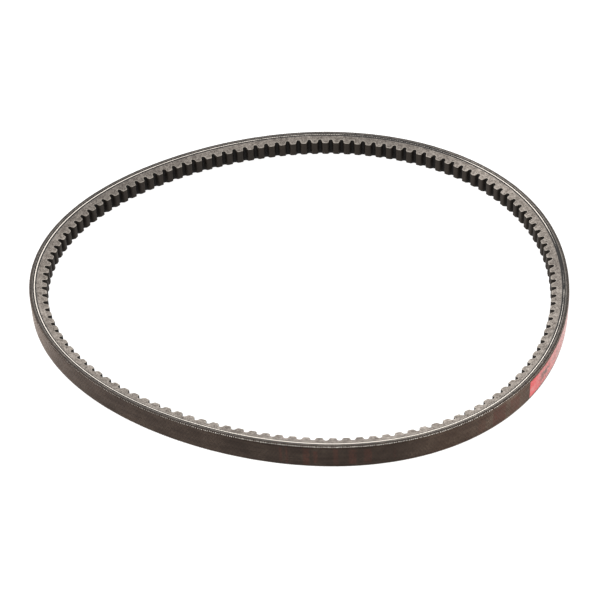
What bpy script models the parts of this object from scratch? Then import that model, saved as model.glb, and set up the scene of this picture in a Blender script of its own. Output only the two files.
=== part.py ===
# A raw-edge cogged V-belt, lying free on its side.
#
# The belt is one endless laminate. From the back inwards it holds two plies of cover fabric, the
# overcord rubber, a sheet of adhesion gum, the wound tensile cord, a second sheet of gum, and the
# compression rubber with its moulded cogs. The flanks are cut through all of them.
#
# Units are metres. The belt's width runs along +Z, from its lower shoulder at 0 to its upper one,
# and the middle of its outside box is over the origin.

import math

import bmesh
import bpy
import numpy as np

# The whole belt
OUTSIDE_LENGTH = 0.8705  # round the back
TOP_WIDTH = 0.01345  # between the lines where the flanks, drawn on, would meet the back
HEIGHT = 0.0091
FLANK_ANGLE = math.radians(36.0)  # between the two flanks
BACK_CORNER_RADIUS = 0.0010

# The shape in which the free loop lies: waves added to a circle, each with how many times it
# goes round the loop, its share of the mean radius, and where its first crest is
LOOP_WAVES = (
    (2, 0.0253, math.radians(-18.5)),
    (3, 0.0282, math.radians(56.3)),
    (4, 0.0017, math.radians(25.3)),
    (5, 0.0023, math.radians(20.2)),
)

# The cogs
COG_COUNT = 131
FIRST_NOTCH = 0.0050  # along the loop from the +X side
NOTCH_DEPTH = 0.0028
NOTCH_ROOT_RADIUS = 0.00125
NOTCH_WALL_TILT = math.radians(12.0)
COG_EDGE_BREAK = 0.00045  # how far each cog's edges are rounded off

# The laminate, from the back inwards
PLY_THICKNESS = 0.00035
OVERCORD_THICKNESS = 0.00060
UPPER_GUM_THICKNESS = 0.00055
CORD_DIAMETER = 0.0011
CORD_SPACING = 0.0014  # from turn to turn, across the belt
CORD_END = 0.8450  # along the loop from the +X side, where the last turn runs out of the upper flank
LOWER_GUM_THICKNESS = 0.00060
BOND_GAP = 0.00010  # between any two layers

# The transfer label on the back
LABEL_START = 0.7535  # along the loop from the +X side
LABEL_LENGTH = 0.0900
LABEL_WIDTH = 0.0100
LABEL_THICKNESS = 0.00012
LABEL_GAP = 0.00006

# How finely the loop is divided: one station to a cog, in the middle of its land
STATIONS = COG_COUNT
CORD_STATIONS = 104  # to a turn
CORNER_POINTS = 4
ROOT_POINTS = 4
TRACK_SAMPLES = 6000
CUTTER_MARGIN = 0.0010

# Depths below the back
OUTER_PLY_TOP = 0.0
INNER_PLY_TOP = OUTER_PLY_TOP + PLY_THICKNESS + BOND_GAP
OVERCORD_TOP = INNER_PLY_TOP + PLY_THICKNESS + BOND_GAP
UPPER_GUM_TOP = OVERCORD_TOP + OVERCORD_THICKNESS + BOND_GAP
UPPER_GUM_BOTTOM = UPPER_GUM_TOP + UPPER_GUM_THICKNESS
CORD_DEPTH = UPPER_GUM_BOTTOM + BOND_GAP + CORD_DIAMETER / 2  # to the middle of the cord
LOWER_GUM_TOP = CORD_DEPTH + CORD_DIAMETER / 2 + BOND_GAP
COMPRESSION_TOP = LOWER_GUM_TOP + LOWER_GUM_THICKNESS + BOND_GAP

FLANK_SLOPE = math.tan(FLANK_ANGLE / 2)
CORD_LINE_LENGTH = OUTSIDE_LENGTH - 2 * math.pi * CORD_DEPTH
COG_PITCH = CORD_LINE_LENGTH / COG_COUNT
CORNER_INSET = BACK_CORNER_RADIUS * (FLANK_SLOPE + 1 / math.cos(FLANK_ANGLE / 2))
MID_WIDTH = TOP_WIDTH / 2 - CORNER_INSET + BACK_CORNER_RADIUS  # from either shoulder


def clear_scene():
    for obj in list(bpy.data.objects):
        bpy.data.objects.remove(obj, do_unlink=True)


def new_collection(name):
    collection = bpy.data.collections.new(name)
    bpy.context.scene.collection.children.link(collection)
    return collection


def new_material(name, colour, roughness):
    material = bpy.data.materials.new(name)
    material.use_nodes = True
    shader = material.node_tree.nodes["Principled BSDF"]
    shader.inputs["Base Color"].default_value = (*colour, 1.0)
    shader.inputs["Roughness"].default_value = roughness
    shader.inputs["Metallic"].default_value = 0.0
    return material


# The cord line, which is the belt's plan curve

def make_track():
    """Arc length, place and outward normal along the cord line, sampled finely."""
    turn = np.linspace(0.0, 2 * math.pi, TRACK_SAMPLES + 1)
    radius = 1.0
    for waves, share, crest in LOOP_WAVES:
        radius = radius + share * np.cos(waves * (turn - crest))
    x, y = radius * np.cos(turn), radius * np.sin(turn)
    steps = np.hypot(np.diff(x), np.diff(y))
    scale = CORD_LINE_LENGTH / steps.sum()
    arc = scale * np.concatenate([[0.0], np.cumsum(steps)])
    x, y = scale * x, scale * y

    along_x = np.gradient(np.concatenate([x[-2:-1], x, x[1:2]]))[1:-1]
    along_y = np.gradient(np.concatenate([y[-2:-1], y, y[1:2]]))[1:-1]
    length = np.hypot(along_x, along_y)
    out_x, out_y = along_y / length, -along_x / length

    back_x, back_y = x + CORD_DEPTH * out_x, y + CORD_DEPTH * out_y
    x = x - (back_x.max() + back_x.min()) / 2
    y = y - (back_y.max() + back_y.min()) / 2
    return arc, x, y, out_x, out_y


TRACK = make_track()


def plan_point(along, depth):
    """The place in plan at a distance along the cord line and a depth below the back."""
    arc, x, y, out_x, out_y = TRACK
    at = along % CORD_LINE_LENGTH
    rise = CORD_DEPTH - depth
    return (
        float(np.interp(at, arc, x) + rise * np.interp(at, arc, out_x)),
        float(np.interp(at, arc, y) + rise * np.interp(at, arc, out_y)),
    )


def corner_depths():
    """Depths of the points that divide a rounded back corner, from the back to the flank."""
    turns = [*np.linspace(math.pi / 2, 0.0, CORNER_POINTS), -FLANK_ANGLE / 2]
    return [BACK_CORNER_RADIUS * (1 - math.sin(turn)) for turn in turns]


def half_width(depth):
    """Half the belt's width at a depth: a flank's straight taper, or its rounded back corner."""
    if depth >= corner_depths()[-1]:
        return TOP_WIDTH / 2 - depth * FLANK_SLOPE
    rise = max(BACK_CORNER_RADIUS**2 - (BACK_CORNER_RADIUS - depth) ** 2, 0.0)
    return TOP_WIDTH / 2 - CORNER_INSET + math.sqrt(rise)


# Curves and meshes

def add_spline(curve, points, cyclic):
    spline = curve.splines.new("POLY")
    spline.points.add(len(points) - 1)
    for point, place in zip(spline.points, points):
        point.co = (*place, 1.0)
    spline.use_cyclic_u = cyclic
    return spline


def section_curve(name, corners, guides):
    """A closed cross-section: x is in towards the cogs, y is up along the belt's width."""
    curve = bpy.data.curves.new(name, "CURVE")
    curve.dimensions = "2D"
    curve.fill_mode = "NONE"
    add_spline(curve, [(x, y, 0.0) for x, y in corners], True)
    obj = bpy.data.objects.new(name, curve)
    obj.hide_render = True
    obj.display_type = "WIRE"
    guides.objects.link(obj)
    return obj


def swept(name, corners, collection, guides):
    """The section carried once round the loop, upright all the way."""
    curve = bpy.data.curves.new(name, "CURVE")
    curve.dimensions = "2D"
    curve.fill_mode = "NONE"
    curve.bevel_mode = "OBJECT"
    curve.bevel_object = section_curve(name + "_section", corners, guides)
    add_spline(curve, [(*plan_point(along, CORD_DEPTH), 0.0) for along in loop_stations()], True)
    obj = bpy.data.objects.new(name, curve)
    obj.location.z = MID_WIDTH
    collection.objects.link(obj)
    return obj


def plate(name, outlines, width, collection):
    """Closed plan outlines filled in and given a width, as a mesh centred across the belt."""
    curve = bpy.data.curves.new(name, "CURVE")
    curve.dimensions = "2D"
    curve.fill_mode = "BOTH"
    curve.extrude = width / 2
    for outline in outlines:
        add_spline(curve, outline, True)
    obj = bpy.data.objects.new(name, curve)
    obj.location.z = MID_WIDTH
    collection.objects.link(obj)
    return curve_to_mesh(obj, collection)


def wedge_corners(top_depth, bottom_depth):
    """The part of the V section between two depths, round from its lower outer corner."""
    clear = BOND_GAP / 2
    between = [d for d in corner_depths() if top_depth + clear < d < bottom_depth - clear]
    depths = [top_depth, *between, bottom_depth]
    upper = [(depth - CORD_DEPTH, half_width(depth)) for depth in depths]
    lower = [(x, -y) for x, y in reversed(upper)]
    return upper + lower


def station_along(index):
    return FIRST_NOTCH + COG_PITCH * (index + 0.5)


def loop_stations():
    return [station_along(index) for index in range(STATIONS)]


def add_layer(name, top_depth, bottom_depth, material, belt, guides):
    corners = wedge_corners(top_depth, bottom_depth)
    layer = swept(name, corners, belt, guides)
    layer.data.materials.append(material)
    return layer


def curve_to_mesh(obj, collection):
    """Replaces a curve object with the mesh it draws, its caps welded to its sides."""
    name = obj.name
    bpy.context.view_layer.update()
    evaluated = obj.evaluated_get(bpy.context.evaluated_depsgraph_get())
    mesh = bpy.data.meshes.new_from_object(evaluated)
    shaped = bmesh.new()
    shaped.from_mesh(mesh)
    bmesh.ops.remove_doubles(shaped, verts=shaped.verts, dist=1e-6)
    bmesh.ops.recalc_face_normals(shaped, faces=shaped.faces)
    shaped.to_mesh(mesh)
    shaped.free()
    placed = obj.matrix_world.copy()
    bpy.data.objects.remove(obj, do_unlink=True)
    made = bpy.data.objects.new(name, mesh)
    made.matrix_world = placed
    collection.objects.link(made)
    return made


def trim_to_flanks(obj, cutter):
    """Cuts a piece to the belt's V section."""
    trim = obj.modifiers.new("flanks", "BOOLEAN")
    trim.operation = "INTERSECT"
    trim.solver = "EXACT"
    trim.object = cutter


def flank_cutter(name, top_depth, bottom_depth, cutters):
    """A solid with the belt's V section between two depths."""
    corners = wedge_corners(top_depth, bottom_depth)
    cutter = curve_to_mesh(swept(name, corners, cutters, cutters), cutters)
    cutter.hide_render = True
    cutter.display_type = "WIRE"
    return cutter


# The compression rubber

def notch_outline(middle):
    """One notch, from its left mouth edge round its root to its right mouth edge."""
    root_centre = HEIGHT - NOTCH_DEPTH + NOTCH_ROOT_RADIUS
    wall_angle = math.pi / 2 - NOTCH_WALL_TILT
    points = []
    for i in range(ROOT_POINTS):
        angle = wall_angle * (2 * i / (ROOT_POINTS - 1) - 1)
        side = NOTCH_ROOT_RADIUS * math.sin(angle)
        points.append((side, root_centre - NOTCH_ROOT_RADIUS * math.cos(angle)))
    wall_side, wall_depth = points[-1]
    lip_depth = HEIGHT - COG_EDGE_BREAK
    lip_side = wall_side + (lip_depth - wall_depth) * math.tan(NOTCH_WALL_TILT)
    mouth_side = lip_side + COG_EDGE_BREAK
    points = [(-mouth_side, HEIGHT), (-lip_side, lip_depth), *points]
    points += [(lip_side, lip_depth), (mouth_side, HEIGHT)]
    return [(*plan_point(middle + side, depth), 0.0) for side, depth in points]


def add_compression_rubber(material, belt, cutters):
    outer = [(*plan_point(along, COMPRESSION_TOP), 0.0) for along in loop_stations()]
    inner = []
    for cog in range(COG_COUNT):
        inner += notch_outline(FIRST_NOTCH + cog * COG_PITCH)
    rubber = plate("compression_rubber", [outer, inner], TOP_WIDTH, belt)
    rubber.data.materials.append(material)
    top = COMPRESSION_TOP - CUTTER_MARGIN
    cutter = flank_cutter("compression_flanks", top, HEIGHT + CUTTER_MARGIN, cutters)
    trim_to_flanks(rubber, cutter)
    return rubber


# The tensile cord

def add_tensile_cord(material, belt, cutters):
    """One cord wound from the lower flank to the upper, its first and last turns cut by them."""
    reach = half_width(CORD_DEPTH) + CORD_DIAMETER / 4
    steps = int(2 * reach / CORD_SPACING * CORD_STATIONS)
    points = []
    for back in range(steps, -1, -1):
        turns = back / CORD_STATIONS
        x, y = plan_point(CORD_END - turns * CORD_LINE_LENGTH, CORD_DEPTH)
        points.append((x, y, MID_WIDTH + reach - turns * CORD_SPACING))
    curve = bpy.data.curves.new("tensile_cord", "CURVE")
    curve.dimensions = "3D"
    curve.fill_mode = "FULL"
    curve.bevel_depth = CORD_DIAMETER / 2
    curve.bevel_resolution = 0
    curve.use_fill_caps = True
    curve.twist_mode = "Z_UP"
    add_spline(curve, points, False)
    obj = bpy.data.objects.new("tensile_cord", curve)
    belt.objects.link(obj)
    obj = curve_to_mesh(obj, belt)
    obj.data.materials.append(material)
    top = CORD_DEPTH - CORD_DIAMETER
    trim_to_flanks(obj, flank_cutter("cord_flanks", top, CORD_DEPTH + CORD_DIAMETER, cutters))
    return obj


# The transfer label

def add_label(material, belt):
    """A thin printed film laid on the outer ply, cut square at both ends."""
    end = LABEL_START + LABEL_LENGTH
    between = [along for along in loop_stations() if LABEL_START < along < end]
    alongs = [LABEL_START, *between, end]
    face, back = -LABEL_GAP - LABEL_THICKNESS, -LABEL_GAP
    outline = [(*plan_point(along, face), 0.0) for along in alongs]
    outline += [(*plan_point(along, back), 0.0) for along in reversed(alongs)]
    label = plate("transfer_label", [outline], LABEL_WIDTH, belt)
    label.data.materials.append(material)
    return label


def build():
    clear_scene()
    belt = new_collection("v_belt")
    cutters = new_collection("cutters")

    fabric = new_material("cover_fabric", (0.075, 0.060, 0.050), 0.85)
    inner_fabric = new_material("inner_fabric", (0.050, 0.042, 0.036), 0.90)
    overcord = new_material("overcord_rubber", (0.045, 0.040, 0.036), 0.80)
    gum = new_material("adhesion_gum", (0.020, 0.018, 0.016), 0.70)
    cord = new_material("polyester_cord", (0.780, 0.740, 0.640), 0.60)
    rubber = new_material("compression_rubber", (0.300, 0.270, 0.240), 0.90)
    ink = new_material("red_transfer", (0.650, 0.120, 0.110), 0.55)

    outer_bottom = OUTER_PLY_TOP + PLY_THICKNESS
    inner_bottom = INNER_PLY_TOP + PLY_THICKNESS
    overcord_bottom = OVERCORD_TOP + OVERCORD_THICKNESS
    lower_gum_bottom = LOWER_GUM_TOP + LOWER_GUM_THICKNESS
    add_layer("cover_fabric_outer_ply", OUTER_PLY_TOP, outer_bottom, fabric, belt, cutters)
    add_layer("cover_fabric_inner_ply", INNER_PLY_TOP, inner_bottom, inner_fabric, belt, cutters)
    add_layer("overcord_rubber", OVERCORD_TOP, overcord_bottom, overcord, belt, cutters)
    add_layer("upper_adhesion_gum", UPPER_GUM_TOP, UPPER_GUM_BOTTOM, gum, belt, cutters)
    add_tensile_cord(cord, belt, cutters)
    add_layer("lower_adhesion_gum", LOWER_GUM_TOP, lower_gum_bottom, gum, belt, cutters)
    add_compression_rubber(rubber, belt, cutters)
    add_label(ink, belt)


build()
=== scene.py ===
import math

import bpy
import numpy as np
from mathutils import Matrix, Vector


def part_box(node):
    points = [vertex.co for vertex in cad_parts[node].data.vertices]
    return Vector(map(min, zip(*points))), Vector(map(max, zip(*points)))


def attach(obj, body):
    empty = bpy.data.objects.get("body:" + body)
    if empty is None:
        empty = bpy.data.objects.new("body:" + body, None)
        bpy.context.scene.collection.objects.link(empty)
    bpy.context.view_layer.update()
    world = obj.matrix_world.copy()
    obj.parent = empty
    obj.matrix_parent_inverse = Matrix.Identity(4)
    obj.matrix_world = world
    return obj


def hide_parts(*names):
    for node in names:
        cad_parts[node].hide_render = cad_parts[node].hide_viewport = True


# A raw-edge cogged V-belt lying on its side: each layer is a section carried round one loop.
# Lengths are metres. "Along" is measured on the cord line from the +X side, anticlockwise from
# above, "depth" from the back inwards, and "side" is -1 at the lower flank and 1 at the upper.

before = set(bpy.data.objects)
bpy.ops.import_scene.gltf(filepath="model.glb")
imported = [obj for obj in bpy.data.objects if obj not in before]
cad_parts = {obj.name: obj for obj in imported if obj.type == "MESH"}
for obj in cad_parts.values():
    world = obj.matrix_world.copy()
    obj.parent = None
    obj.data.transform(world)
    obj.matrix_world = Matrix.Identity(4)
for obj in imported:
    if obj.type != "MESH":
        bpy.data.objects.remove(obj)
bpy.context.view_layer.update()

outerPly = "cover_fabric_outer_ply"
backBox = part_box(outerPly)


def depthOf(node):
    # How far inside the back a node starts, on the +X side
    return backBox[1].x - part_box(node)[1].x


def lowestAt(node):
    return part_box(node)[0].z


belt = {
    "middle": (backBox[1].z + backBox[0].z) / 2,
    "cordRadius": 0.00055,
    "cornerRadius": 0.0010,  # of the back's two corners
    "flankWave": 0.00002,  # how far a cut flank strays from its plane
    "flankSeed": 3,
    "bondWave": 0.00003,  # how far a bond strays from its depth
    "bondSeed": 11,
    "bondGap": 0.00001,
}
belt["cordDepth"] = depthOf("tensile_cord") + belt["cordRadius"]
belt["slope"] = ((lowestAt("compression_rubber") - lowestAt("lower_adhesion_gum"))
                 / (depthOf("compression_rubber") - depthOf("lower_adhesion_gum")))
belt["tilt"] = math.atan(belt["slope"])
# Half the width where the flanks, drawn on, would meet the back, and where the flat back ends
belt["halfTop"] = (belt["middle"] - lowestAt("compression_rubber")
                   + belt["slope"] * depthOf("compression_rubber"))
belt["halfFlat"] = belt["halfTop"] - belt["cornerRadius"] * (
    belt["slope"] + 1 / math.cos(belt["tilt"]))

# Where each layer starts, from the back inwards. The two gums meet at the cord's middle.
bonds = {
    "outerPly": 0.0,
    "innerPly": depthOf("cover_fabric_inner_ply"),
    "overcord": depthOf("overcord_rubber"),
    "upperGum": depthOf("upper_adhesion_gum"),
    "cordMiddle": belt["cordDepth"],
    "compression": depthOf("compression_rubber"),
}
print("frame read")

loop = {
    "harmonics": 9,
    "samples": 26000,
    "cogs": 131,
    "firstNotch": 0.0050,
    "edgeBand": 0.00002,  # how near a vertex has to be to count as on the back's edge
}


def nodePoints(node):
    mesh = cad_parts[node].data
    flat = np.empty(len(mesh.vertices) * 3, np.float32)
    mesh.vertices.foreach_get("co", flat)
    return flat.reshape(-1, 3).astype(float)


def readLoop():
    # The edge of the flat back gives the outline: its radius as a sum of cosines and sines of
    # the angle. The cord line is that curve moved inwards along its normal by the cord's depth.
    # The node's first station is in the middle of a cog, half a pitch before the first notch.
    corner = nodePoints(outerPly)
    edgeHeight = belt["middle"] + belt["halfFlat"]
    corner = corner[np.abs(corner[:, 2] - edgeHeight) < loop["edgeBand"]]
    angle = np.arctan2(corner[:, 1], corner[:, 0])
    waves = np.arange(1, loop["harmonics"] + 1)

    def terms(at):
        turned = at[:, None] * waves
        return np.hstack([np.ones((len(at), 1)), np.cos(turned), np.sin(turned)])

    shares = np.linalg.lstsq(terms(angle), np.hypot(corner[:, 0], corner[:, 1]), rcond=None)[0]
    count = loop["harmonics"]
    slopes = np.concatenate([[0], shares[count + 1:] * waves, -shares[1:count + 1] * waves])
    at = angle[np.argmin(np.abs(angle))] + np.linspace(0, 2 * np.pi, loop["samples"] + 1)
    radius = terms(at) @ shares
    slope = terms(at) @ slopes
    goingX = slope * np.cos(at) - radius * np.sin(at)
    goingY = slope * np.sin(at) + radius * np.cos(at)
    speed = np.hypot(goingX, goingY)
    loop["x"] = radius * np.cos(at)
    loop["y"] = radius * np.sin(at)
    loop["outX"] = goingY / speed
    loop["outY"] = -goingX / speed
    cordX = loop["x"] - loop["outX"] * belt["cordDepth"]
    cordY = loop["y"] - loop["outY"] * belt["cordDepth"]
    steps = np.hypot(np.diff(cordX), np.diff(cordY))
    loop["along"] = np.concatenate([[0], np.cumsum(steps)])
    loop["length"] = loop["along"][-1]
    loop["angle"] = at
    loop["start"] = loop["firstNotch"] - loop["length"] / loop["cogs"] / 2


readLoop()
print("loop read: cord line", round(loop["length"] * 1000, 2), "mm")


def onLoop(along, what):
    return np.interp(np.mod(along - loop["start"], loop["length"]), loop["along"], loop[what])


def place(along, depth, height):
    # The point at that depth below the back, straight inwards from it, and at that height
    along, depth, height = np.broadcast_arrays(along, depth, height)
    x = onLoop(along, "x") - onLoop(along, "outX") * depth
    y = onLoop(along, "y") - onLoop(along, "outY") * depth
    return np.stack([x, y, height], -1)


def wander(along, seed, slowest=4, fastest=140, count=26):
    # A sum of sine waves that each fit the loop a whole number of times, mostly within -1 to 1
    draw = np.random.default_rng(seed)
    cycles = draw.integers(slowest, fastest, count)
    turns = draw.random(count) * 2 * np.pi
    angle = 2 * np.pi * np.asarray(along)[..., None] / loop["length"] * cycles + turns
    return np.sin(angle).sum(-1) / math.sqrt(count)


def alongCurve(pairs, along):
    # A value given at places round the loop, in millimetres along, and straight between them
    where, value = np.array(pairs).T
    length = loop["length"]
    return np.interp(np.mod(along, length) * 1000, where, value, period=length * 1000)


def halfWidth(depth):
    # Half the width at a depth: the flanks' straight taper, or the arc that rounds it off
    radius = belt["cornerRadius"]
    lift = np.clip(1 - depth / radius, -math.sin(belt["tilt"]), 1)
    corner = belt["halfFlat"] + radius * np.sqrt(1 - lift ** 2)
    straight = belt["halfTop"] - depth * belt["slope"]
    return np.where(depth < radius * (1 + math.sin(belt["tilt"])), corner, straight)


def flankHeight(along, depth, side):
    # The height at that depth, with side as the share of the way from the middle to a flank
    wave = belt["flankWave"] * wander(along, belt["flankSeed"])
    return belt["middle"] + side * (halfWidth(depth) + wave)


def bondDepth(name, along):
    # Where a layer starts: its nominal depth with the slight wave of a cured laminate
    if name == "outerPly":
        return np.zeros_like(along)
    seed = belt["bondSeed"] + list(bonds).index(name)
    return bonds[name] + belt["bondWave"] * wander(along, seed)


def gridFaces(rows, columns, closedRows=True):
    # Quads of a grid whose columns close on themselves, and the unwrapped row and column numbers
    # of their corners. Columns run anticlockwise seen against the direction of travel.
    row = np.arange(rows if closedRows else rows - 1)[:, None] + np.zeros((1, columns), int)
    column = np.arange(columns)[None, :] + np.zeros_like(row)
    cornerRow = np.stack([row, row + 1, row + 1, row], -1).reshape(-1, 4)
    cornerColumn = np.stack([column, column, column + 1, column + 1], -1).reshape(-1, 4)
    faces = (cornerRow % rows) * columns + cornerColumn % columns
    return faces, cornerRow, cornerColumn


def loopUv(along, around, cornerRow, cornerColumn):
    # The length along the belt and the distance round its section, for every corner of a grid
    # that closes on itself both ways
    unwrapped = np.append(along, along[0] + loop["length"])
    return np.stack([unwrapped[cornerRow], around[cornerColumn]], -1)


def buildPiece(name, points, faceSets, material, replaced=(), uv=None, attributes=None,
               sharp=math.radians(50)):
    mesh = bpy.data.meshes.new(name)
    points = points.reshape(-1, 3)
    corners = np.concatenate([faces.ravel() for faces in faceSets])
    sizes = np.concatenate([np.full(len(faces), faces.shape[1]) for faces in faceSets])
    mesh.vertices.add(len(points))
    mesh.vertices.foreach_set("co", points.astype(np.float32).ravel())
    mesh.loops.add(len(corners))
    mesh.loops.foreach_set("vertex_index", corners.astype(np.int32))
    mesh.polygons.add(len(sizes))
    mesh.polygons.foreach_set("loop_start", (np.cumsum(sizes) - sizes).astype(np.int32))
    mesh.update(calc_edges=True)
    mesh.validate()
    if uv is not None:
        mesh.uv_layers.new(name="loopMap").data.foreach_set("uv", uv.astype(np.float32).ravel())
    for key, values in (attributes or {}).items():
        layer = mesh.attributes.new(key, "FLOAT", "POINT")
        layer.data.foreach_set("value", values.astype(np.float32).ravel())
    mesh.shade_smooth()
    mesh.set_sharp_from_angle(angle=sharp)
    mesh.materials.append(material)
    piece = bpy.data.objects.new(name, mesh)
    bpy.context.scene.collection.objects.link(piece)
    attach(piece, "root")
    if replaced:
        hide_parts(*replaced)
    print("made", name, len(sizes), "faces")


# Materials

def addNode(tree, kind, inputs=None, **settings):
    node = tree.nodes.new("ShaderNode" + kind)
    for key, value in settings.items():
        setattr(node, key, value)
    for key, value in (inputs or {}).items():
        if isinstance(value, bpy.types.NodeSocket):
            tree.links.new(value, node.inputs[key])
        else:
            node.inputs[key].default_value = value
    return node


def calculate(tree, operation, first, second=0.0, third=None):
    inputs = {0: first, 1: second}
    if third is not None:
        inputs[2] = third
    return addNode(tree, "Math", inputs, operation=operation).outputs[0]


def mixColor(tree, share, first, second, blend="MIX"):
    node = addNode(tree, "Mix", data_type="RGBA", blend_type=blend)
    for socket, value in ((node.inputs[0], share), (node.inputs[6], first), (node.inputs[7], second)):
        if isinstance(value, bpy.types.NodeSocket):
            tree.links.new(value, socket)
        else:
            socket.default_value = value
    return node.outputs[2]


def mapRange(tree, value, low, high, toLow=0.0, toHigh=1.0):
    inputs = {0: value, 1: low, 2: high, 3: toLow, 4: toHigh}
    return addNode(tree, "MapRange", inputs).outputs[0]


def noise(tree, vector, scale, detail=2.0, roughness=0.5):
    inputs = {"Vector": vector, "Scale": scale, "Detail": detail, "Roughness": roughness}
    return addNode(tree, "TexNoise", inputs).outputs[0]


def attribute(tree, name):
    return addNode(tree, "Attribute", attribute_name=name).outputs["Fac"]


def textureMaps(tree):
    # The belt unrolled flat, and the place in space
    unrolled = addNode(tree, "UVMap", uv_map="loopMap").outputs[0]
    return unrolled, addNode(tree, "TexCoord").outputs["Object"]


def stretch(tree, vector, along, across):
    return addNode(tree, "Mapping", {"Vector": vector, "Scale": (along, across, 1.0)}).outputs[0]


def newMaterial(name, **shaderValues):
    material = bpy.data.materials.new(name)
    material.use_nodes = True
    shader = material.node_tree.nodes["Principled BSDF"]
    for key, value in shaderValues.items():
        shader.inputs[key.replace("_", " ")].default_value = value
    return material, material.node_tree, shader


def finishMaterial(tree, shader, color, roughness, height, bumpDepth):
    tree.links.new(color, shader.inputs["Base Color"])
    tree.links.new(roughness, shader.inputs["Roughness"])
    bump = addNode(tree, "Bump", {"Height": height, "Distance": bumpDepth, "Strength": 1.0})
    tree.links.new(bump.outputs[0], shader.inputs["Normal"])


def paint(red, green, blue):
    # A display colour, 0 to 255, as the linear value that a shader takes
    share = np.array([red, green, blue]) / 255
    linear = np.where(share <= 0.04045, share / 12.92, ((share + 0.055) / 1.055) ** 2.4)
    return (*linear.tolist(), 1.0)


fabric = {
    "yarnPitch": 0.00075,
    "biasAngle": math.radians(57),  # between a yarn and the belt's length
    "yarnRise": 0.00005,
    "crossing": 0.35,  # how much higher the upper of two crossing yarns is
    "dark": paint(25, 17, 12),
    "light": paint(53, 40, 31),
    "dust": paint(84, 71, 60),
    "print": paint(84, 40, 30),
}


def weave(tree, unrolled):
    # Two sets of yarns cross on the bias. Each is a row of round humps, and where they cross the
    # upper one is the one whose own ripple is higher, which gives a plain weave.
    parts = addNode(tree, "SeparateXYZ", {0: unrolled})
    alongScale = math.sin(fabric["biasAngle"]) / fabric["yarnPitch"]
    acrossScale = math.cos(fabric["biasAngle"]) / fabric["yarnPitch"]
    along = calculate(tree, "MULTIPLY", parts.outputs[0], alongScale)
    across = calculate(tree, "MULTIPLY", parts.outputs[1], acrossScale)
    first = calculate(tree, "ADD", along, across)
    second = calculate(tree, "SUBTRACT", along, across)
    humps = []
    for own, other, turn in ((first, second, 0.0), (second, first, math.pi)):
        hump = calculate(tree, "SINE", calculate(tree, "MULTIPLY", own, math.pi))
        hump = calculate(tree, "ABSOLUTE", hump)
        ripple = calculate(tree, "MULTIPLY_ADD", other, math.pi, turn)
        ripple = calculate(tree, "SINE", ripple)
        humps.append(calculate(tree, "MULTIPLY_ADD", ripple, fabric["crossing"], hump))
    return calculate(tree, "MAXIMUM", *humps)


def fabricMaterial(name, dark, light, dust):
    material, tree, shader = newMaterial(
        name, Sheen_Weight=0.60, Sheen_Roughness=0.26, Sheen_Tint=paint(255, 240, 228),
        Specular_IOR_Level=0.2)
    unrolled, objectPlace = textureMaps(tree)
    yarns = weave(tree, unrolled)
    smear = noise(tree, stretch(tree, unrolled, 0.12, 1.0), 420.0, 4.0)
    patch = noise(tree, objectPlace, 130.0, 4.0, 0.6)
    grain = noise(tree, objectPlace, 1500.0, 3.0, 0.6)
    color = mixColor(tree, mapRange(tree, yarns, 0.35, 1.1), dark, light)
    color = mixColor(tree, mapRange(tree, smear, 0.35, 0.75, 0.0, 0.55), color, dark)
    # Dust on the raised grain of some patches
    raised = mapRange(tree, grain, 0.4, 0.7)
    lifted = calculate(tree, "MULTIPLY", mapRange(tree, patch, 0.42, 0.72), raised)
    color = mixColor(tree, calculate(tree, "MULTIPLY", lifted, 0.6), color, dust)
    # Times the lightness painted round the loop: painted light, shade and sheen together with the
    # fabric's own lightness
    color = tonedAndLit(tree, color)
    marks = attribute(tree, "fadedPrint")
    worn = mapRange(tree, grain, 0.42, 0.58, 0.15, 1.0)
    worn = calculate(tree, "MULTIPLY", worn, mapRange(tree, patch, 0.35, 0.6, 0.35, 1.0))
    color = mixColor(tree, calculate(tree, "MULTIPLY", marks, worn), color, fabric["print"])
    roughness = mapRange(tree, smear, 0.2, 0.8, 0.62, 0.82)
    height = calculate(tree, "MULTIPLY_ADD", grain, 0.35, yarns)
    finishMaterial(tree, shader, color, roughness, height, fabric["yarnRise"])
    return material


rubber = {
    "cutDark": paint(70, 62, 56),
    "cutLight": paint(172, 163, 154),
    "fibre": paint(206, 198, 188),
    "moulded": paint(37, 29, 21),
    # also the painted shade deep in each notch
    "root": paint(14, 9, 6),
    "rim": paint(178, 170, 160),
    "black": paint(20, 17, 15),
    "band": paint(92, 83, 75),
    "cutRise": 0.00003,
    "mouldedRise": 0.00004,
}

# How light the cut flank and the woven back are made round the loop: measured, and rounded. Both are
# partly painted light and shade, and the back is painted much lighter by its sheen at both sides of
# the loop, where it turns away.
flankToneAndLight = [(0, 0.80), (50, 1.0), (100, 1.13), (150, 0.68), (200, 0.75), (250, 0.84), (300, 0.67),
             (350, 0.63), (400, 0.86), (450, 1.03), (500, 1.05), (550, 0.92), (600, 0.97),
             (650, 0.97), (700, 1.20), (750, 1.12), (800, 0.98)]
backToneAndSheen = [(450, 2.0), (470, 1.9), (500, 1.4), (530, 1.17), (620, 1.04), (650, 1.1), (680, 1.4),
            (700, 2.6), (720, 2.6), (740, 3.6), (760, 3.0), (850, 1.8)]


def tonedAndLit(tree, color):
    # The colour times the piece's lightness round the loop, which is partly painted light, shade and
    # sheen
    shade = addNode(tree, "CombineColor", {i: attribute(tree, "toneAndLight") for i in range(3)}).outputs[0]
    return mixColor(tree, 1.0, color, shade, "MULTIPLY")


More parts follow.
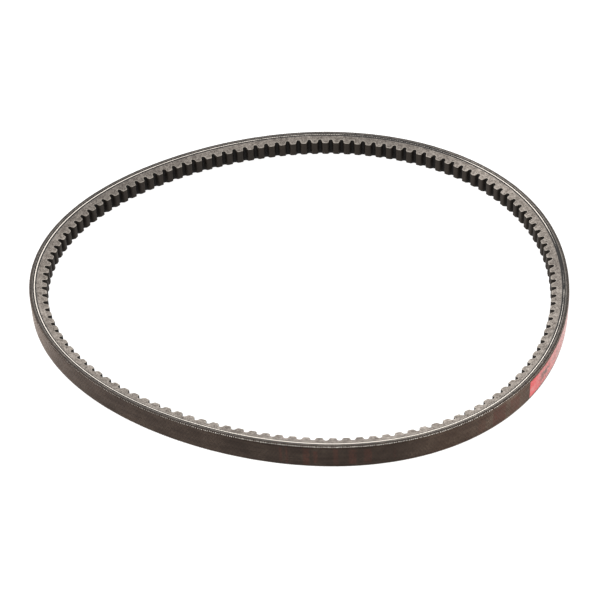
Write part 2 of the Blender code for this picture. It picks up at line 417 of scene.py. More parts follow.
def cutRubberMaterial(name, dark, light, flecks):
    # The flank as the knife leaves it: fine scores along the belt, chopped fibre ends as flecks
    material, tree, shader = newMaterial(name, Specular_IOR_Level=0.35)
    unrolled, objectPlace = textureMaps(tree)
    scores = noise(tree, stretch(tree, unrolled, 0.06, 1.0), 5200.0, 3.0, 0.6)
    patch = noise(tree, objectPlace, 120.0, 4.0, 0.6)
    blotch = noise(tree, objectPlace, 460.0, 3.0, 0.6)
    grain = noise(tree, objectPlace, 1500.0, 3.0, 0.7)
    blend = calculate(tree, "MULTIPLY_ADD", scores, 0.25, calculate(tree, "MULTIPLY", grain, 0.45))
    blend = calculate(tree, "MULTIPLY_ADD", blotch, 0.3, blend)
    color = mixColor(tree, mapRange(tree, blend, 0.40, 0.60), dark, light)
    color = mixColor(tree, mapRange(tree, patch, 0.4, 0.7, 0.0, 0.45), color, dark)
    if flecks:
        cells = addNode(tree, "TexVoronoi", {"Vector": objectPlace, "Scale": 1300.0}, feature="F1")
        fleck = mapRange(tree, cells.outputs[0], 0.14, 0.3, 0.6, 0.0)
        color = mixColor(tree, fleck, color, rubber["fibre"])
    # Times the lightness painted round the loop, which is partly painted light and shade
    return material, tree, shader, tonedAndLit(tree, color), scores, grain


def finishCut(tree, shader, color, scores, grain):
    roughness = mapRange(tree, grain, 0.3, 0.7, 0.55, 0.8)
    height = calculate(tree, "ADD", scores, grain)
    finishMaterial(tree, shader, color, roughness, height, rubber["cutRise"])


def overcordMaterial():
    material, tree, shader, color, scores, grain = cutRubberMaterial(
        "overcordRubber", rubber["black"], rubber["band"], False)
    finishCut(tree, shader, color, scores, grain)
    return material


def gumMaterial():
    # Black soft gum close to the cord. Further off, the knife has smeared it with rubber dust.
    material, tree, shader, color, scores, grain = cutRubberMaterial(
        "adhesionGum", rubber["cutDark"], rubber["cutLight"], False)
    near = mapRange(tree, attribute(tree, "nearCord"), 0.08, 0.22)
    color = mixColor(tree, near, color, rubber["black"])
    finishCut(tree, shader, color, scores, grain)
    return material


def compressionMaterial():
    # The cut flank with its pale rim round each notch, and the dark moulded skin everywhere else,
    # painted darker towards each notch's root as shade
    material, tree, shader, cut, scores, grain = cutRubberMaterial(
        "compressionRubber", rubber["cutDark"], rubber["cutLight"], True)
    shader.inputs["Specular IOR Level"].default_value = 0.25
    _, objectPlace = textureMaps(tree)
    broken = mapRange(tree, grain, 0.35, 0.6, 0.35, 1.0)
    rim = calculate(tree, "MULTIPLY", attribute(tree, "rim"), broken)
    cut = mixColor(tree, rim, cut, rubber["rim"])
    bloom = mapRange(tree, noise(tree, objectPlace, 380.0, 4.0), 0.35, 0.7, 0.0, 0.35)
    moulded = mixColor(tree, bloom, rubber["moulded"], rubber["root"])
    # Painted shade: the moulded skin darkens towards each notch's root
    moulded = mixColor(tree, attribute(tree, "notch"), moulded, rubber["root"])
    onFlank = attribute(tree, "cutFace")
    color = mixColor(tree, onFlank, moulded, cut)
    roughness = mapRange(tree, onFlank, 0.0, 1.0, 0.62, 0.78)
    roughness = calculate(tree, "MULTIPLY_ADD", grain, 0.12, roughness)
    height = calculate(tree, "ADD", calculate(tree, "MULTIPLY", scores, onFlank), grain)
    finishMaterial(tree, shader, color, roughness, height, rubber["mouldedRise"])
    return material


cordLook = {
    "white": paint(240, 231, 220),
    "shade": paint(168, 158, 146),
    "smear": paint(96, 88, 80),
    "dip": paint(18, 14, 12),
    "coreAcross": 0.50,  # the undipped core's size, as shares of the radius
    "coreUp": 0.95,
    "ragged": 0.25,  # how uneven the core's edge is
    "rise": 0.00005,
    "lay": 0.0042,  # the length in which the strands go once round
    "strands": 3,
}


def cordMaterial():
    # Polyester strands laid together: light fibres with a shadow where two strands meet, and a
    # dark skin where the adhesive dip has soaked in
    material, tree, shader = newMaterial("tensileCord", Sheen_Weight=0.05, Specular_IOR_Level=0.2)
    unrolled, _ = textureMaps(tree)
    parts = addNode(tree, "SeparateXYZ", {0: unrolled})
    turn = calculate(tree, "MULTIPLY", parts.outputs[0], 2 * math.pi / cordLook["lay"])
    across, up = attribute(tree, "cordAcross"), attribute(tree, "cordUp")
    around = calculate(tree, "ARCTAN2", up, across)
    phase = calculate(tree, "SUBTRACT", around, turn)
    phase = calculate(tree, "MULTIPLY", phase, cordLook["strands"] / 2)
    strand = calculate(tree, "ABSOLUTE", calculate(tree, "SINE", phase))
    fibres = noise(tree, stretch(tree, unrolled, 1.0, 0.004), 1500.0, 3.0)
    across = calculate(tree, "DIVIDE", across, cordLook["coreAcross"])
    up = calculate(tree, "DIVIDE", up, cordLook["coreUp"])
    squares = calculate(tree, "MULTIPLY_ADD", across, across, calculate(tree, "MULTIPLY", up, up))
    fromCore = calculate(tree, "SQRT", squares)
    ragged = calculate(tree, "MULTIPLY_ADD", fibres, cordLook["ragged"], fromCore)
    color = mixColor(tree, mapRange(tree, strand, 0.1, 0.45), cordLook["shade"], cordLook["white"])
    color = mixColor(tree, mapRange(tree, fibres, 0.55, 0.75, 0.0, 0.4), color, cordLook["smear"])
    dipped = mapRange(tree, ragged, 1.0, 1.25)
    color = mixColor(tree, dipped, color, cordLook["dip"])
    roughness = mapRange(tree, fibres, 0.3, 0.7, 0.55, 0.8)
    height = calculate(tree, "ADD", strand, fibres)
    finishMaterial(tree, shader, color, roughness, height, cordLook["rise"])
    return material


threadLook = {
    # Painted light and shade: the ends' colour where they are lit, and where they are in shade
    "paleAndLit": paint(250, 243, 232),
    "darkAndShaded": paint(72, 64, 56),
    "innerPaleAndLit": paint(96, 87, 78),
    "innerDarkAndShaded": paint(46, 40, 34),
    "rise": 0.00004,
}


def threadMaterial(name, light, dark):
    material, tree, shader = newMaterial(name, Sheen_Weight=0.3, Specular_IOR_Level=0.3)
    _, objectPlace = textureMaps(tree)
    fuzz = noise(tree, objectPlace, 9000.0, 2.0)
    # Painted light and shade: from the shaded colour to the lit one, by how lit each end is painted
    color = mixColor(tree, attribute(tree, "toneAndLight"), dark, light)
    color = mixColor(tree, mapRange(tree, fuzz, 0.5, 0.75, 0.0, 0.5), color, dark)
    roughness = mapRange(tree, fuzz, 0.3, 0.7, 0.7, 0.9)
    finishMaterial(tree, shader, color, roughness, fuzz, threadLook["rise"])
    return material


labelLook = {
    "red": paint(214, 66, 68),
    "pink": paint(212, 116, 112),
    # Pale ink: partly faded, partly painted sheen
    "washedAndSheen": paint(222, 180, 174),
    "fleck": paint(74, 62, 52),
    "rise": 0.00003,
}


def labelMaterial():
    # Transfer ink pressed into the weave: full at its printed start, paler further along, partly faded
    # ink and partly painted sheen
    material, tree, shader = newMaterial("labelInk", Specular_IOR_Level=0.45, Coat_Weight=0.06)
    unrolled, objectPlace = textureMaps(tree)
    yarns = weave(tree, unrolled)
    patch = noise(tree, objectPlace, 210.0, 4.0, 0.6)
    grain = noise(tree, objectPlace, 1500.0, 3.0, 0.6)
    far = attribute(tree, "washedAndSheen")
    # Paler towards the far end: partly faded ink, partly painted sheen
    color = mixColor(tree, mapRange(tree, far, 0.06, 0.22), labelLook["red"], labelLook["pink"])
    color = mixColor(tree, mapRange(tree, far, 0.25, 0.7, 0.0, 0.9), color, labelLook["washedAndSheen"])
    color = mixColor(tree, mapRange(tree, patch, 0.4, 0.65, 0.0, 0.4), color, labelLook["washedAndSheen"])
    worn = mapRange(tree, grain, 0.46, 0.6)
    worn = calculate(tree, "MULTIPLY", worn, mapRange(tree, patch, 0.4, 0.58))
    worn = calculate(tree, "MULTIPLY", worn, mapRange(tree, far, 0.05, 0.14, 0.1, 0.7))
    spots = mapRange(tree, noise(tree, objectPlace, 480.0, 3.0), 0.46, 0.54)
    smudge = calculate(tree, "MULTIPLY", attribute(tree, "smudge"), spots)
    worn = calculate(tree, "MAXIMUM", worn, calculate(tree, "MULTIPLY", smudge, 0.9))
    worn = calculate(tree, "MAXIMUM", worn, attribute(tree, "wornAway"))
    valley = mapRange(tree, yarns, 0.35, 0.6, 0.35, 0.0)
    color = mixColor(tree, calculate(tree, "MAXIMUM", worn, valley), color, labelLook["fleck"])
    roughness = mapRange(tree, grain, 0.3, 0.7, 0.38, 0.6)
    height = calculate(tree, "MULTIPLY_ADD", grain, 0.3, yarns)
    finishMaterial(tree, shader, color, roughness, height, labelLook["rise"])
    return material


# Layers

layers = {
    "stations": 2096,
    "facePoints": 9,
    "flankPoints": 5,
    "gumRecess": 0.00016,  # how far the gum is worn back beside the cord
    "recessReach": 2.0,  # how far that goes from the cord's middle, as cord radiuses
}


def layerSection(facePoints, flankPoints, bunching):
    # Round the section from the outer face's lower end: how deep in the layer each point is, 0
    # at its outer face and 1 at its inner, and its side. Bunching brings the flank's points
    # nearer the outer face, where the back's corner turns fastest.
    face = np.linspace(-1, 1, facePoints)
    flank = np.linspace(0, 1, flankPoints)[1:-1] ** bunching
    share = np.concatenate([np.zeros(facePoints), flank, np.ones(facePoints), flank[::-1]])
    side = np.concatenate([face, np.ones(len(flank)), face[::-1], -np.ones(len(flank))])
    return share, side


def sectionAround(depth, height):
    # The distance travelled round the section up to each point, the first again at the end
    steps = np.hypot(np.diff(depth, append=depth[:1]), np.diff(height, append=height[:1]))
    return np.concatenate([[0], np.cumsum(steps)])


def nearCord(depth):
    # 1 at the cord's middle, falling to 0 a little way outside it
    reach = layers["recessReach"] * belt["cordRadius"]
    return np.clip(1 - np.abs(depth - belt["cordDepth"]) / reach, 0, 1)


def addLayer(name, outer, inner, material, replaced, toneAndLight, besideCord=False, marks=None,
             facePoints=layers["facePoints"], flankPoints=layers["flankPoints"], bunching=1):
    rows = layers["stations"]
    along = np.linspace(0, loop["length"], rows, endpoint=False)
    share, side = layerSection(facePoints, flankPoints, bunching)
    top = bondDepth(outer, along)[:, None]
    bottom = bondDepth(inner, along)[:, None] - belt["bondGap"]
    depth = top + (bottom - top) * share
    height = flankHeight(along[:, None], depth, side)
    near = nearCord(depth)
    if besideCord:
        height = height - side * layers["gumRecess"] * near
    faces, cornerRow, cornerColumn = gridFaces(rows, len(share))
    uv = loopUv(along, sectionAround(depth[0], height[0]), cornerRow, cornerColumn)
    # The lightness round the loop, partly painted light, shade and sheen
    attributes = {"nearCord": near, "toneAndLight": alongCurve(toneAndLight, along)[:, None] + 0 * depth}
    if marks:
        attributes["fadedPrint"] = marks(along[:, None], height, depth)
    buildPiece(name, place(along[:, None], depth, height), [faces], material, replaced, uv,
               attributes)


# The old print on the back: plain faded bars, (start along, width, lowest, highest, strength)
fadedBars = [
    (0.6220, 0.0016, 0.10, 0.92, 0.60), (0.6248, 0.0016, 0.05, 0.95, 0.50),
    (0.6328, 0.0034, 0.06, 0.94, 0.60), (0.6376, 0.0024, 0.15, 0.85, 0.55),
    (0.6466, 0.0028, 0.06, 0.94, 0.60), (0.6537, 0.0040, 0.12, 0.88, 0.65),
    (0.6606, 0.0040, 0.08, 0.92, 0.65), (0.6740, 0.0020, 0.15, 0.80, 0.25),
    (0.7170, 0.0050, 0.10, 0.90, 0.40), (0.7260, 0.0090, 0.06, 0.94, 0.85),
    (0.7375, 0.0080, 0.08, 0.92, 0.85), (0.7470, 0.0030, 0.10, 0.90, 0.45),
]


def fadedMarks(along, height, depth):
    # Each bar has a soft edge along the belt at both its ends, and hard edges across it
    soft = 0.0006
    share = (height - belt["middle"]) / (2 * belt["halfFlat"]) + 0.5
    total = np.zeros(np.broadcast_shapes(along.shape, height.shape))
    for start, width, low, high, strength in fadedBars:
        entered = np.clip((along - start) / soft, 0, 1)
        staying = np.clip((start + width - along) / soft, 0, 1)
        total += strength * entered * staying * (share > low) * (share < high)
    return total * (depth < belt["bondGap"])


coverMaterial = fabricMaterial("coverFabric", fabric["dark"], fabric["light"], fabric["dust"])
innerPlyMaterial = fabricMaterial("innerFabric", rubber["black"], fabric["light"], rubber["band"])
adhesionMaterial = gumMaterial()
addLayer("coverFabricOuterPly", "outerPly", "innerPly", coverMaterial,
         [outerPly], backToneAndSheen, marks=fadedMarks, facePoints=17, flankPoints=8, bunching=2)
addLayer("coverFabricInnerPly", "innerPly", "overcord", innerPlyMaterial,
         ["cover_fabric_inner_ply"], flankToneAndLight)
addLayer("overcordRubber", "overcord", "upperGum", overcordMaterial(),
         ["overcord_rubber"], flankToneAndLight)
addLayer("upperAdhesionGum", "upperGum", "cordMiddle", adhesionMaterial,
         ["upper_adhesion_gum"], flankToneAndLight, besideCord=True, flankPoints=9)
addLayer("lowerAdhesionGum", "cordMiddle", "compression", adhesionMaterial,
         ["lower_adhesion_gum"], flankToneAndLight, besideCord=True, flankPoints=9)

# Cut thread ends along the flanks

threads = {
    "pitch": 0.00100,
    "length": 0.00027,  # half an end's size along the belt
    "width": 0.00024,  # half its size across the ply
    "rise": 0.00015,  # half its size out of the cut
    "around": 6,
    "rings": 3,
    "jitter": 0.18,  # how far an end is from its even place, as a share of the pitch
    "scatter": 0.00004,  # the same in depth
    "twist": (0.2, 0.7),  # how far an end is turned about its own axis
    "sizes": (0.75, 1.2),
    "paleness": (0.6, 1.0),
    # The two rows: how deep, how far it leans outwards, its size and its random seed
    "outerRow": (0.00026, math.radians(48), 1.0, 21),
    "innerRow": (0.00062, math.radians(22), 0.7, 22),
    # How pale the ends are round the loop: palest at the front
    # This is painted light: the ends are lit at the front and painted in shade elsewhere
    "paleAndLit": [(0, 0.25), (150, 0.5), (300, 0.5), (420, 0.2), (560, 0.25), (610, 0.95), (720, 1.0),
              (760, 0.4), (850, 0.2)],
}


def tuftShape():
    # A low ellipsoid: rings of latitude between two poles
    latitude = np.linspace(-np.pi / 2, np.pi / 2, threads["rings"] + 2)[1:-1]
    turn = np.arange(threads["around"]) * 2 * np.pi / threads["around"]
    ring = np.stack([
        np.cos(latitude)[:, None] * np.cos(turn),
        np.cos(latitude)[:, None] * np.sin(turn),
        np.sin(latitude)[:, None] + 0 * turn], -1).reshape(-1, 3)
    points = np.vstack([ring, [[0, 0, -1], [0, 0, 1]]])
    count = threads["around"]
    here = np.arange(count)
    following = (here + 1) % count
    quads = [np.stack([here, following, following + count, here + count], -1) + level * count
             for level in range(threads["rings"] - 1)]
    last = (threads["rings"] - 1) * count
    bottomPole, topPole = len(ring), len(ring) + 1
    low = np.stack([following, here, np.full(count, bottomPole)], -1)
    high = np.stack([here + last, following + last, np.full(count, topPole)], -1)
    return points, np.vstack(quads), np.vstack([low, high])


def addThreadEnds(name, row, material):
    # One tuft after another along both flanks. Each stands on a frame of its own: along the
    # belt, across the ply, and out of the cut.
    depth, lean, size, seed = row
    shape, quads, triangles = tuftShape()
    count = int(loop["length"] / threads["pitch"])
    draw = np.random.default_rng(seed)
    jitter, scatter = threads["jitter"], threads["scatter"]
    number = np.tile(np.arange(count), 2) + draw.uniform(-jitter, jitter, 2 * count)
    along = number * loop["length"] / count
    side = np.repeat([1.0, -1.0], count)
    deep = depth + draw.uniform(-scatter, scatter, 2 * count)
    centre = place(along, deep, flankHeight(along, deep, side))
    outX, outY = onLoop(along, "outX"), onLoop(along, "outY")
    flat = np.zeros_like(outX)
    travel = np.stack([-outY, outX, flat], -1)
    outward = np.stack([outX, outY, flat], -1)
    up = np.stack([flat, flat, side], -1)
    away = outward * math.sin(lean) + up * math.cos(lean)
    across = np.cross(away, travel)
    turn = draw.uniform(*threads["twist"], 2 * count) * np.where(np.arange(2 * count) % 2, 1, -1)
    first = travel * np.cos(turn)[:, None] + across * np.sin(turn)[:, None]
    second = np.cross(away, first)
    scale = size * draw.uniform(*threads["sizes"], (2 * count, 3)) * [
        threads["length"], threads["width"], threads["rise"]]
    points = centre[:, None] + sum(
        axis[:, None] * (scale[:, None, i] * shape[None, :, i])[..., None]
        for i, axis in enumerate((first, second, away)))
    shift = (np.arange(2 * count) * len(shape))[:, None, None]
    # A random paleness for each end, times the painted light round the loop
    toneAndLight = draw.uniform(*threads["paleness"], 2 * count) * alongCurve(threads["paleAndLit"], along)
    toneAndLight = np.repeat(toneAndLight, len(shape))
    faceSets = [(quads + shift).reshape(-1, 4), (triangles + shift).reshape(-1, 3)]
    buildPiece(name, points, faceSets, material, attributes={"toneAndLight": toneAndLight}, sharp=math.pi)


outerThreads = threadMaterial("cutThreadEnds", threadLook["paleAndLit"], threadLook["darkAndShaded"])
innerThreads = threadMaterial("innerThreadEnds", threadLook["innerPaleAndLit"], threadLook["innerDarkAndShaded"])
addThreadEnds("outerPlyThreadEnds", threads["outerRow"], outerThreads)
addThreadEnds("innerPlyThreadEnds", threads["innerRow"], innerThreads)

# The tensile cord

winding = {
    "end": 0.845,  # along, where the last turn runs out of the upper flank
    "rise": 0.0014,  # from turn to turn
    "beyond": 0.00056,  # how far past the flank the cord's middle is at its two ends
    "lobe": 0.07,  # how far a strand stands out of the round, as a share of the radius
    "around": 12,
    "fineStep": 0.0006,
    "fineTurns": 1.35,  # at each end, where the cord is cut and seen
    "coarseStep": 0.0040,
    "wave": 0.00003,
    "seed": 31,
    "proud": 0.00002,  # how far the cut face stands out of the flank
    # How many millimetres farther its middle stands out, where the cut fibres have fluffed up
    "fray": [(0, 0.10), (540, 0.10), (610, 0.24), (730, 0.24), (790, 0.14), (850, 0.10)],
    # How much of the cord's skin still has its dark dip, which has rubbed off at the front
    "dipped": [(0, 1.0), (560, 1.0), (610, 0.62), (730, 0.50), (790, 0.9), (850, 1.0)],
    "thinnest": 0.00003,  # half the width of the cord's last fibres on the flank
    "liftAt": 0.066,  # where the last turn lies nearer to the flank than it should, for how long
    "liftLength": 0.048,
    "lift": 0.00050,
    "mapStart": 10,  # keeps the whole map on its positive side
}


def addCord():
    # A helix round the loop. Its height rises steadily from below the lower flank to above the
    # upper. Each ring is a circle with one lobe for each strand, turned with the lay, and the
    # part of it past a flank is pressed onto the cut face: its points are spread evenly across the
    # cut's own chord, and the middle of the face is fluffed up.
    radius = belt["cordRadius"]
    straight = belt["halfTop"] - belt["cordDepth"] * belt["slope"]
    total = (2 * straight + 2 * winding["beyond"]) / winding["rise"] * loop["length"]
    fineReach = winding["fineTurns"] * loop["length"]
    fine = np.arange(0, fineReach, winding["fineStep"])
    coarse = np.arange(fineReach, total - fineReach, winding["coarseStep"])
    travelled = np.concatenate([fine, coarse, total - fine[::-1]])
    along = winding["end"] - total + travelled
    height = -straight - winding["beyond"] + travelled * winding["rise"] / loop["length"]
    lift = np.exp(-((along - winding["liftAt"]) / winding["liftLength"]) ** 4)
    height = height + winding["lift"] * lift
    height = height + winding["wave"] * wander(along, winding["seed"])
    tilt = belt["tilt"]
    turn = np.linspace(0, 2 * np.pi, winding["around"], endpoint=False)[None, :]
    laid = 2 * np.pi * along[:, None] / cordLook["lay"]
    ring = radius * (1 + winding["lobe"] * np.cos(cordLook["strands"] * (turn - laid)))
    sideways = -ring * np.cos(turn)  # in depth
    upward = ring * np.sin(turn)
    ripple = radius * winding["lobe"] * np.cos(cordLook["strands"] * laid)
    fray = 0.001 * alongCurve(winding["fray"], along)[:, None]
    frayedOut, frayedUp = 0, 0
    for side in (1, -1):
        # cutAt: from the cord's middle to the flank, square to the flank
        cutAt = (straight - side * height)[:, None] * math.cos(tilt) + ripple
        across = sideways * math.cos(tilt) - side * upward * math.sin(tilt)
        away = sideways * math.sin(tilt) + side * upward * math.cos(tilt)
        chord = np.sqrt(np.clip(radius ** 2 - cutAt ** 2, winding["thinnest"] ** 2, None))
        cutAngle = np.arccos(np.clip(cutAt / radius, -1, 0.99))
        share = np.clip(np.arctan2(across, away) / cutAngle, -1, 1)
        past = away > cutAt
        across = np.where(past, chord * share, across)
        away = np.where(past, cutAt, away)
        standing = np.where(past, winding["proud"] + fray * chord / radius * (1 - share ** 2), 0)
        frayedOut = frayedOut + standing * math.sin(tilt)
        frayedUp = frayedUp + side * standing * math.cos(tilt)
        sideways = across * math.cos(tilt) + away * math.sin(tilt)
        upward = side * (away * math.cos(tilt) - across * math.sin(tilt))
    points = place(along[:, None], belt["cordDepth"] + sideways + frayedOut,
                   belt["middle"] + height[:, None] + upward + frayedUp)
    dipped = alongCurve(winding["dipped"], along)[:, None]
    offCentre = {"cordAcross": dipped * sideways / radius, "cordUp": dipped * upward / radius}
    rows, columns = sideways.shape
    faces, cornerRow, cornerColumn = gridFaces(rows, columns, closedRows=False)
    uv = np.stack([along[cornerRow] + winding["mapStart"], cornerColumn / columns], -1)
    middle = points[[0, -1]].mean(1)
    here = np.arange(columns)
    following = np.roll(here, -1)
    last = (rows - 1) * columns
    start = np.stack([np.full(columns, rows * columns), here, following], -1)
    finish = np.stack([last + here, np.full(columns, rows * columns + 1), last + following], -1)
    caps = np.vstack([start, finish])
    capUv = np.zeros((len(caps), 3, 2))
    points = np.vstack([points.reshape(-1, 3), middle])
    uv = np.vstack([uv.reshape(-1, 2), capUv.reshape(-1, 2)])
    attributes = {key: np.append(values.ravel(), [0, 0]) for key, values in offCentre.items()}
    buildPiece("tensileCord", points, [faces, caps], cordMaterial(),
               ["tensile_cord"], uv, attributes)


addCord()

# The compression rubber and its cogs

cogs = {
    "height": 0.0091,
    "notchDepth": 0.00265,
    "rootRadius": 0.00125,
    "wallTilt": math.radians(12),
    "edgeBreak": 0.00095,
    "flankEdge": 0.00012,
    "edgeShares": (0.35, 1.0),  # how far round the flank's inner edge its two points are
    "edgeCut": 0.6,  # how much of the cut face's look the first of them has
    "arcPoints": 6,
    "bendPoints": 5,
    "landPoints": 2,
    "flankPoints": 7,
    "facePoints": 7,
    "spread": 0.00006,  # how much one cog differs from the next
    "seed": 41,
    "rimReach": 0.00030,
    "rimStations": 4,  # how many stations either way the rim looks for the outline
    # (along, how far the cogs there are ahead of even spacing), in millimetres: measured, and
    # rounded, but for the guess at 510
    "drift": [
        (10, -0.2), (70, 0.1), (160, 0.1), (220, 0.5), (265, 1.0), (310, 0.75), (340, 0.0),
        (370, -0.8), (400, -1.5), (435, -1.9), (470, -1.6), (510, -1.1), (550, -0.55),
        (580, 0.0), (630, 0.45), (670, 0.15), (700, -0.45), (730, -1.2), (765, -1.25),
        (790, -0.8), (820, -0.6)],
}


def cogOutline():
    # Half a notch, from the middle of its root to the middle of the land beside it: an arc, a
    # leaning wall, a rounded corner and the land, then the mirror of it on the other side.
    root = cogs["height"] - cogs["notchDepth"]
    centre = root + cogs["rootRadius"]
    arc = np.linspace(np.pi / 2, cogs["wallTilt"], cogs["arcPoints"])
    arcAlong = cogs["rootRadius"] * np.cos(arc)
    arcDepth = centre - cogs["rootRadius"] * np.sin(arc)
    mouth = arcAlong[-1] + (cogs["height"] - arcDepth[-1]) * math.tan(cogs["wallTilt"])
    # The corner is a curve from the wall to the land that aims at where they would meet
    bend = np.linspace(0, 1, cogs["bendPoints"])
    wallAlong = mouth - cogs["edgeBreak"] * math.sin(cogs["wallTilt"])
    wallDepth = cogs["height"] - cogs["edgeBreak"] * math.cos(cogs["wallTilt"])
    landStart = mouth + cogs["edgeBreak"]
    bendAlong = (1 - bend) ** 2 * wallAlong + 2 * bend * (1 - bend) * mouth + bend ** 2 * landStart
    bendDepth = (1 - bend) ** 2 * wallDepth + (1 - (1 - bend) ** 2) * cogs["height"]
    halfPitch = loop["length"] / loop["cogs"] / 2
    landAlong = np.linspace(landStart, halfPitch, cogs["landPoints"] + 1)[1:]
    half = np.concatenate([arcAlong, bendAlong, landAlong])
    depth = np.concatenate([arcDepth, bendDepth, np.full(cogs["landPoints"], cogs["height"])])
    back = slice(len(half) - 2, 0, -1)
    return np.concatenate([half, 2 * halfPitch - half[back]]), np.concatenate([depth, depth[back]])


def addCompressionRubber():
    # Stations follow the cogs' outline. At each the section is a trapezoid from the bond down to
    # the outline, with its two inner edges slightly rounded.
    offset, outline = cogOutline()
    pitch = loop["length"] / loop["cogs"]
    number = np.arange(loop["cogs"])
    even = loop["firstNotch"] + number[:, None] * pitch + offset[None, :]
    along = (even + alongCurve(cogs["drift"], even) / 1000).ravel()
    inner = np.tile(outline, loop["cogs"])
    fullness = (inner - cogs["height"]) / cogs["notchDepth"] + 1
    inner = inner + cogs["spread"] * wander(along, cogs["seed"], 60, 400) * fullness
    inner = np.minimum(inner, cogs["height"])
    order = np.argsort(np.mod(along, loop["length"]), kind="stable")
    along, inner = np.mod(along, loop["length"])[order], inner[order]
    bond = np.array([-1.0, 0.0, 1.0])
    flank = np.linspace(0, 1, cogs["flankPoints"] + 1)[1:]
    edge = np.array(cogs["edgeShares"])
    face = np.linspace(1, -1, cogs["facePoints"] + 2)[1:-1]
    bondRow, flankRow, edgeRow, faceRow = (np.zeros(len(group)) for group in (bond, flank, edge, face))
    edgeSize = cogs["flankEdge"]
    # Round the section: along the bond, in along the upper flank, round its edge, across the
    # inner face, and back out along the lower flank
    outermost = bondDepth("compression", along)[:, None]
    innermost = inner[:, None]
    flankDepth = outermost + (innermost - edgeSize - outermost) * flank
    edgeDepth = innermost - edgeSize * (1 - edge) ** 2
    edgeInset = edgeSize * edge ** 2
    depth = np.hstack([outermost + bondRow, flankDepth, edgeDepth, innermost + faceRow,
                       edgeDepth[:, ::-1], flankDepth[:, ::-1]])
    side = np.hstack([bond, flankRow + 1, edgeRow + 1, face, edgeRow - 1, flankRow - 1])
    inset = np.hstack([bondRow, flankRow, edgeInset, faceRow, edgeInset[::-1], flankRow])
    flat = np.hstack([bondRow, flankRow, edgeRow, faceRow + 1, edgeRow, flankRow])
    height = flankHeight(along[:, None], depth, side) - np.sign(side) * inset - flat * side * edgeSize
    faces, cornerRow, cornerColumn = gridFaces(len(along), len(side))
    uv = loopUv(along, sectionAround(depth[0], height[0]), cornerRow, cornerColumn)
    edgeCut = np.array([cogs["edgeCut"], 0.0])
    onFlank = np.hstack([bondRow + 1, flankRow + 1, edgeCut, faceRow, edgeCut[::-1], flankRow + 1])
    onFlank = onFlank + 0 * depth
    # The rim: how near a point on the flank is to the outline, across the section or along it
    nearest = innermost - depth
    halfLoop = loop["length"] / 2
    for step in range(-cogs["rimStations"], cogs["rimStations"] + 1):
        beside = np.roll(inner, step)[:, None]
        apart = np.mod(np.roll(along, step) - along + halfLoop, loop["length"]) - halfLoop
        nearest = np.minimum(nearest, np.hypot(apart[:, None], np.maximum(beside - depth, 0)))
    rim = np.exp(-(nearest / cogs["rimReach"]) ** 2) * onFlank
    # Painted shade: 0 on a cog's land, rising to 1 at the root of a notch
    paintedNotchShade = (cogs["height"] - innermost) / cogs["notchDepth"] * (1 - onFlank)
    # The lightness round the loop, partly painted light and shade
    toneAndLight = alongCurve(flankToneAndLight, along)[:, None] + 0 * depth
    buildPiece("compressionRubber", place(along[:, None], depth, height), [faces],
               compressionMaterial(), ["compression_rubber"], uv,
               {"cutFace": onFlank, "rim": rim, "notch": paintedNotchShade, "toneAndLight": toneAndLight},
               sharp=math.radians(65))


addCompressionRubber()

# The transfer label

label = {
    "stations": 260,
    "columns": 40,
    "proud": 0.00006,
    "edge": 0.00025,  # how far in from its edges the film thins
    "thinEdge": 0.2,  # what is left of the film's thickness at its edges
    "nick": 0.0003,
    "lowerSeed": 51,
    "upperSeed": 52,
    "wearSeed": 53,
    "wearStripes": 9,
    "wear": 0.75,
    "smudges": [(0.0155, 0.0065, 1.0), (0.034, 0.011, 0.55)],  # (where, half length, strength)
}


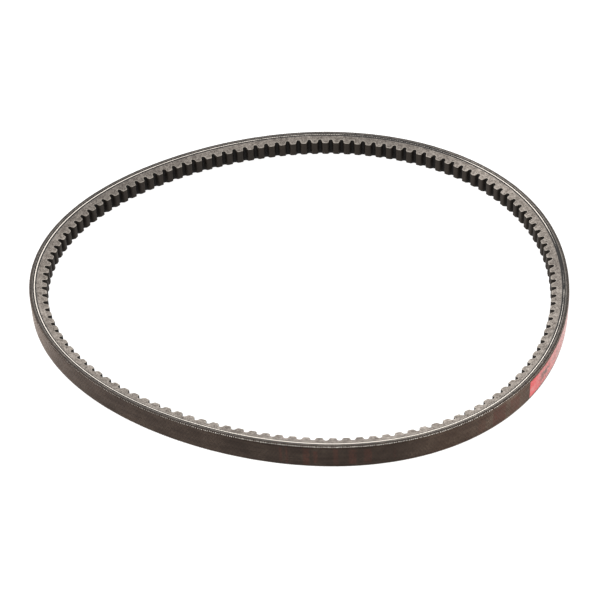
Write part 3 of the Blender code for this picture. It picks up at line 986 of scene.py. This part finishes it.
def addLabel():
    # A thin film on the back. Round its section the film goes up its outer face and down its
    # inner one, and both come together at the edges, which wander a little.
    corner = nodePoints("transfer_label")
    angle = np.mod(np.arctan2(corner[:, 1], corner[:, 0]) - loop["angle"][0], 2 * np.pi)
    start, end = loop["start"] + np.interp(
        [angle.min(), angle.max()], loop["angle"] - loop["angle"][0], loop["along"])
    low, high = corner[:, 2].min(), corner[:, 2].max()
    rows, columns = label["stations"], label["columns"]
    along = np.linspace(start, end, rows)[:, None]
    side = np.linspace(0, 1, columns)
    lower = low + label["nick"] * (1 + wander(along, label["lowerSeed"], 40, 900)) / 2
    upper = high - label["nick"] * (1 + wander(along, label["upperSeed"], 40, 900)) / 2
    across = np.concatenate([side, side[::-1]])[None, :]
    height = lower + (upper - lower) * across
    fromEdge = np.minimum(across, 1 - across) * (high - low)
    fromEnd = np.minimum(along - start, end - along)
    swell = np.clip(np.minimum(fromEdge, fromEnd) / label["edge"], label["thinEdge"], 1)
    outside = np.concatenate([np.ones(columns), np.zeros(columns)])[None, :]
    depth = -belt["bondGap"] - label["proud"] * outside * swell
    faces, cornerRow, cornerColumn = gridFaces(rows, 2 * columns, closedRows=False)
    here = np.arange(columns - 1)
    first = np.stack([here, here + 1, 2 * columns - 2 - here, 2 * columns - 1 - here], -1)
    last = first[:, ::-1] + (rows - 1) * 2 * columns
    rise = (height - low).mean(0)
    filmUv = np.stack([along[:, 0][cornerRow.ravel()], rise[cornerColumn.ravel() % (2 * columns)]], -1)
    capCorners = np.concatenate([first.ravel(), last.ravel()])
    capAlong = (along + 0 * height).ravel()[capCorners]
    capUv = np.stack([capAlong, (height - low).ravel()[capCorners]], -1)
    # How far along the label, which sets its paling: partly faded ink, partly painted sheen
    washedAndSheen = np.clip((along - start) / (end - start), 0, 1) + 0 * height
    # Worn away in stripes along the label, but not at its start
    stripes = np.sin(label["wearStripes"] * np.pi * across)
    away = np.clip(0.5 + 0.8 * wander(along, label["wearSeed"], 60, 500) * stripes, 0, 1) ** 4
    away = label["wear"] * away * np.clip((washedAndSheen - 0.04) / 0.1, 0, 1)
    # Old print shows through near the start, in two patches along the label
    smudge = sum(strength * np.exp(-((along - start - where) / reach) ** 4)
                 for where, reach, strength in label["smudges"])
    smudge = smudge * np.clip(1.2 - 2 * np.abs(across - 0.5), 0, 1)
    buildPiece("transferLabel", place(along, depth, height), [faces, first, last], labelMaterial(),
               ["transfer_label"], np.vstack([filmUv, capUv]),
               {"washedAndSheen": washedAndSheen, "wornAway": away, "smudge": smudge})


addLabel()
print("belt made")

# Floor, light and camera

stage = {
    "floorHalf": 3.0,
    "floorColor": (0.25, 0.25, 0.25, 1.0),
    "floorGlow": 0.95,
    "world": 0.50,
    "lights": {  # (place, size, power)
        "leftLight": ((-1.6, -0.5, 0.9), 1.2, 31.0),
        "backLight": ((-0.3, 1.4, 1.7), 1.4, 32.0),
        "rightLight": ((1.7, 0.2, 0.8), 1.2, 16.0),
    },
}


def addFloor():
    half = stage["floorHalf"]
    mesh = bpy.data.meshes.new("floor")
    mesh.from_pydata([(-half, -half, 0), (half, -half, 0), (half, half, 0), (-half, half, 0)], [],
                     [(0, 1, 2, 3)])
    material, _, shader = newMaterial("floorPaper", Roughness=0.9, Specular_IOR_Level=0.1)
    shader.inputs["Base Color"].default_value = stage["floorColor"]
    shader.inputs["Emission Color"].default_value = (1.0, 1.0, 1.0, 1.0)
    shader.inputs["Emission Strength"].default_value = stage["floorGlow"]
    mesh.materials.append(material)
    floor = bpy.data.objects.new("floor", mesh)
    bpy.context.scene.collection.objects.link(floor)


def addLight(name, position, size, power):
    light = bpy.data.lights.new(name, "AREA")
    light.shape = "DISK"
    light.size = size
    light.energy = power
    lamp = bpy.data.objects.new(name, light)
    lamp.location = position
    bpy.context.scene.collection.objects.link(lamp)
    lamp.rotation_euler = (-lamp.location).to_track_quat("-Z", "Y").to_euler()


def addWorld():
    world = bpy.data.worlds.new("softBox")
    world.use_nodes = True
    background = world.node_tree.nodes["Background"]
    background.inputs[0].default_value = (1.0, 1.0, 1.0, 1.0)
    background.inputs[1].default_value = stage["world"]
    bpy.context.scene.world = world
    bpy.context.scene.view_settings.view_transform = "Standard"


view = {
    "lens": 100.11,
    "sensor": 36.0,
    "elevation": math.radians(37.572),
    "roll": math.radians(-1.996),
    "position": (0.003870, -0.698986, 0.538039),
    "shift": (-0.00943, -0.01798),
}


def addCamera():
    # The camera looks along +Y and down, turned a little about its own axis
    camera = bpy.data.cameras.new("camera")
    camera.lens = view["lens"]
    camera.sensor_width = view["sensor"]
    camera.shift_x, camera.shift_y = view["shift"]
    camera.clip_start = 0.01
    eye = bpy.data.objects.new("camera", camera)
    bpy.context.scene.collection.objects.link(eye)
    eye.location = view["position"]
    eye.rotation_mode = "QUATERNION"
    tipped = math.pi / 2 - view["elevation"]
    turned = Matrix.Rotation(tipped, 3, "X") @ Matrix.Rotation(view["roll"], 3, "Z")
    eye.rotation_quaternion = turned.to_quaternion()
    bpy.context.scene.camera = eye


addFloor()
for lightName, (lightPlace, lightSize, lightPower) in stage["lights"].items():
    addLight(lightName, lightPlace, lightSize, lightPower)
addWorld()
addCamera()
print("stage set")
